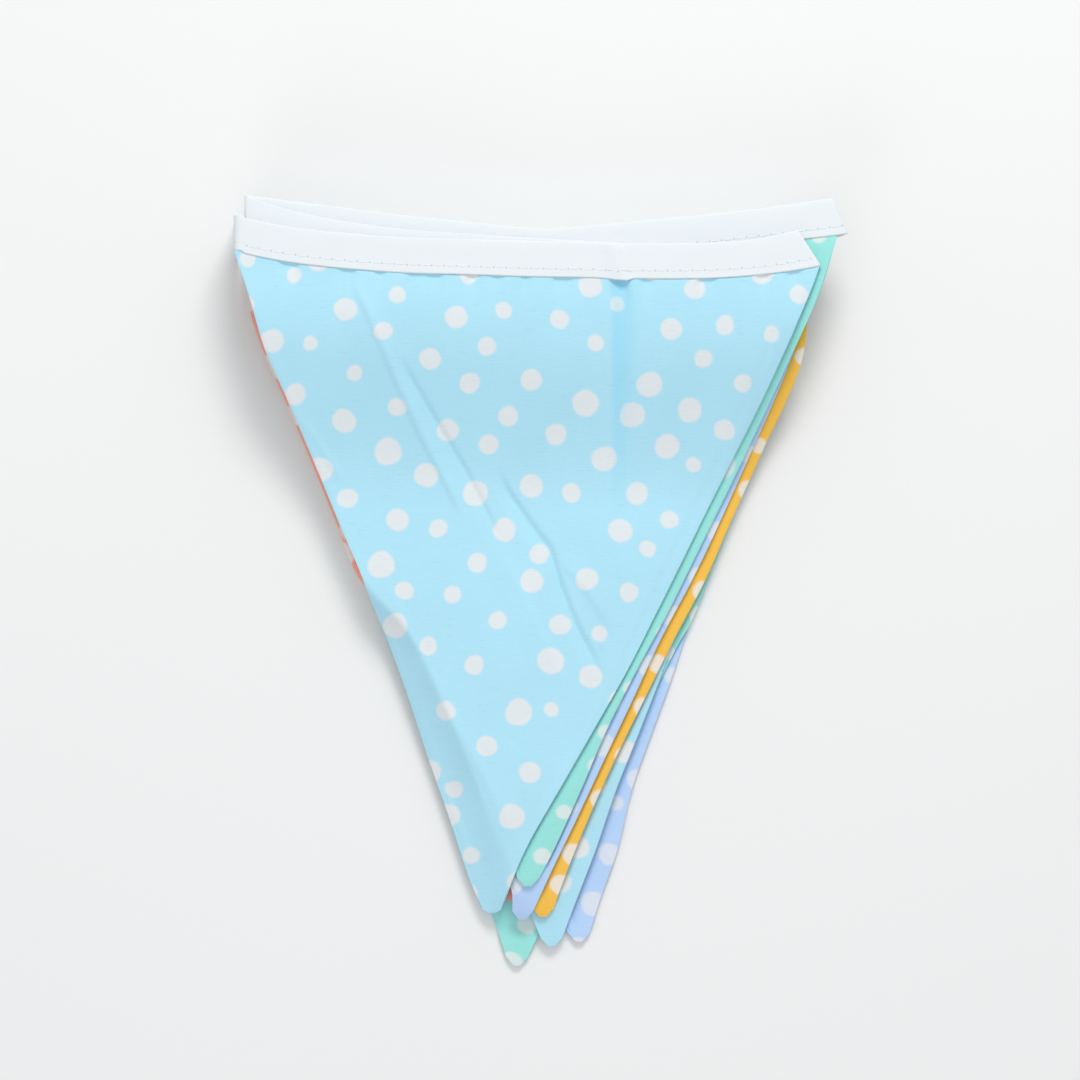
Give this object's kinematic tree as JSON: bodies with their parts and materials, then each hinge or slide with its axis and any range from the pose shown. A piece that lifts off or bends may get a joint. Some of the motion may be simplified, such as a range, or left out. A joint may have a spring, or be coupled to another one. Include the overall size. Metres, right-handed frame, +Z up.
{
  "type": "fabric bunting",
  "caption": "Fabric bunting folded flat: triangular cotton pennants with dots stacked on a white sewn tape that runs back and forth.",
  "frame": {"origin": "middle of the folded stack's box, on the surface that it lies on", "axes": "+Z up out of the top pennant's face, +Y towards the tape side, the tips point to -Y"},
  "size_m": [0.198, 0.2496, 0.0319],
  "materials": {
    "cotton_light_blue": "plain weave cotton with printed pale dots",
    "cotton_teal": "plain weave cotton with printed pale dots",
    "cotton_periwinkle": "plain weave cotton with printed pale dots",
    "cotton_yellow": "plain weave cotton with printed pale dots",
    "cotton_coral": "plain weave cotton with printed pale dots",
    "tape_white": "woven cotton tape, folded and stitched"
  },
  "bodies": {
    "root": {"tape": "tape_white", "pennant_01": "cotton_light_blue", "pennant_02": "cotton_teal", "pennant_03": "cotton_periwinkle", "pennant_04": "cotton_yellow", "pennant_05": "cotton_coral", "pennant_06": "cotton_light_blue", "pennant_07": "cotton_teal", "pennant_08": "cotton_periwinkle", "pennant_09": "cotton_yellow", "pennant_10": "cotton_coral"}
  },
  "joints": []
}
